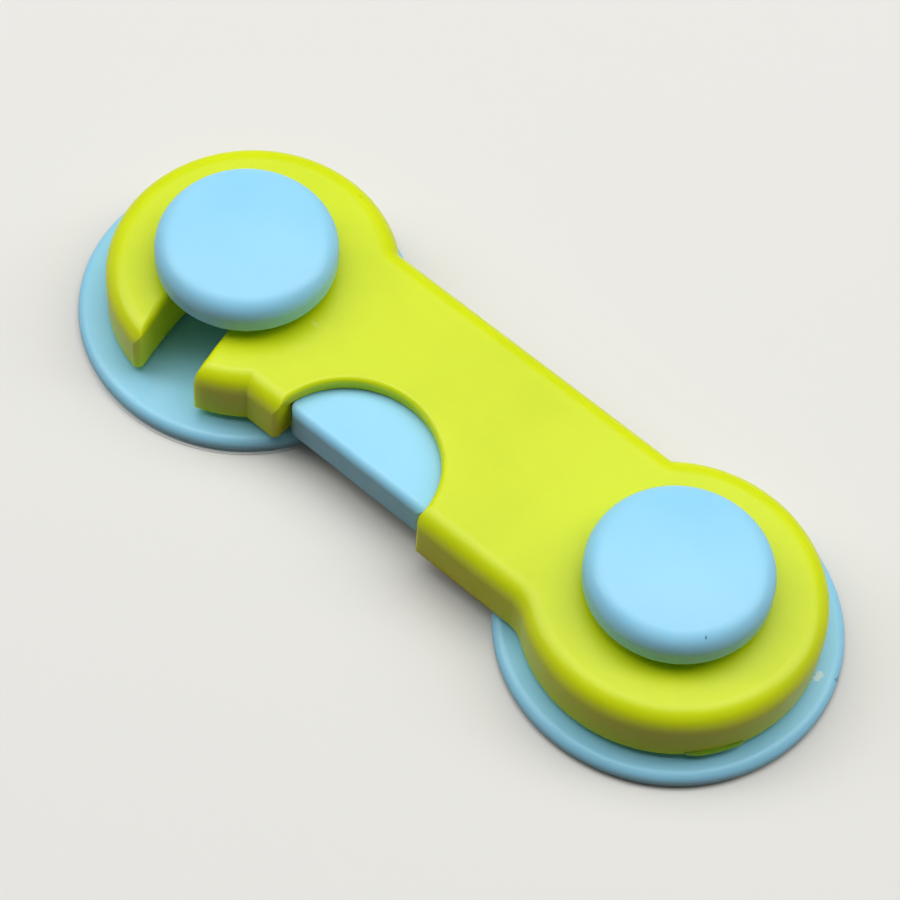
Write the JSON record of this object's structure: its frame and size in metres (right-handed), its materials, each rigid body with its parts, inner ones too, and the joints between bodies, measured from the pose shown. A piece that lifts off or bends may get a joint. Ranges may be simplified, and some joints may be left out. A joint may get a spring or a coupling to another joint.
{
  "type": "cabinet safety lock",
  "caption": "Wrench-shaped cabinet safety lock: a hooked arm turns on one glued base and closes over the capped post of another, freed by a thumb button in its side.",
  "frame": {"origin": "on the mounting surface, midway between the two posts along the arm", "axes": "+X along the arm from the hook to the pivot, +Z away from the mounting surface, -Y towards the side with the hook's mouth and the thumb button"},
  "size_m": [0.1097, 0.0432, 0.017],
  "materials": {
    "lime_plastic": "satin gloss moulded ABS",
    "blue_plastic": "satin gloss moulded ABS",
    "steel": "zinc plated",
    "foam": "closed-cell foam tape",
    "film": "glossy release film"
  },
  "bodies": {
    "bases": {"pivot_base": "blue_plastic", "latch_base": "blue_plastic", "pivot_cap": "blue_plastic", "latch_cap": "blue_plastic", "cap_screws": "steel", "pivot_pad": "foam", "latch_pad": "foam", "pivot_liner": "film", "latch_liner": "film"},
    "arm": {"arm_shell": "lime_plastic", "arm_back_cover": "lime_plastic", "cover_screws": "steel", "button_spring": "steel"},
    "button": {"thumb_button": "blue_plastic"},
    "bolt": {"latch_bolt": "blue_plastic"}
  },
  "joints": [
    {"name": "arm_swing", "type": "hinge", "parent": "bases", "child": "arm", "pos_m": [0.03385, 0, 0.0068], "axis": [0, 0, -1], "range_deg": [-0.6, 340]},
    {"name": "button_press", "type": "slide", "parent": "arm", "child": "button", "axis": [0, 1, 0], "range_m": [0, 0.0035], "stiffness_N_per_m": 300, "springref_m": -0.002, "deforming": ["button_spring"]},
    {"name": "bolt_draw", "type": "slide", "parent": "arm", "child": "bolt", "axis": [1, 0, 0], "range_m": [0, 0.0035]}
  ],
  "couplings": [
    {"joint": "bolt_draw", "follows": "button_press", "ratio": 1}
  ]
}
